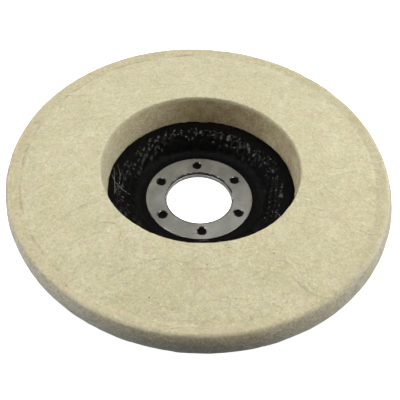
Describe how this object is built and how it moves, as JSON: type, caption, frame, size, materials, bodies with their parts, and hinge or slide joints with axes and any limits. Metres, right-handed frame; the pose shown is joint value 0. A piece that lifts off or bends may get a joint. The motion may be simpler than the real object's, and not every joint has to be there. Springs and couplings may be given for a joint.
{
  "type": "felt polishing disc",
  "caption": "Wool felt polishing disc for an angle grinder, glued to a depressed-centre glass laminate plate with a pierced steel hub.",
  "frame": {"origin": "on the spindle axis, in the plane where the rear hub ring seats on the grinder's flange", "axes": "+Z along the spindle axis, from the rear hub ring towards the felt's working face; +X between two of the front ring's holes"},
  "size_m": [0.125, 0.125, 0.0186],
  "materials": {
    "wool_felt": "dense pressed wool felt, matte, with short surface fibres",
    "glue": "cured amber resin adhesive, satin",
    "black_cloth": "coarse woven glass cloth in black resin, glossy on the crowns of the weave",
    "glass_mesh": "open glass mesh in dark phenolic resin, matte cut edges",
    "hub_steel": "plain stamped sheet steel, dull grey with small rust spots"
  },
  "bodies": {
    "root": {"felt_ring": "wool_felt", "glue_bed": "glue", "front_cloth_ply": "black_cloth", "front_mesh_ply": "glass_mesh", "middle_mesh_ply": "glass_mesh", "rear_mesh_ply": "glass_mesh", "rear_cloth_ply": "black_cloth", "front_hub_ring": "hub_steel", "rear_hub_ring": "hub_steel"}
  },
  "joints": []
}
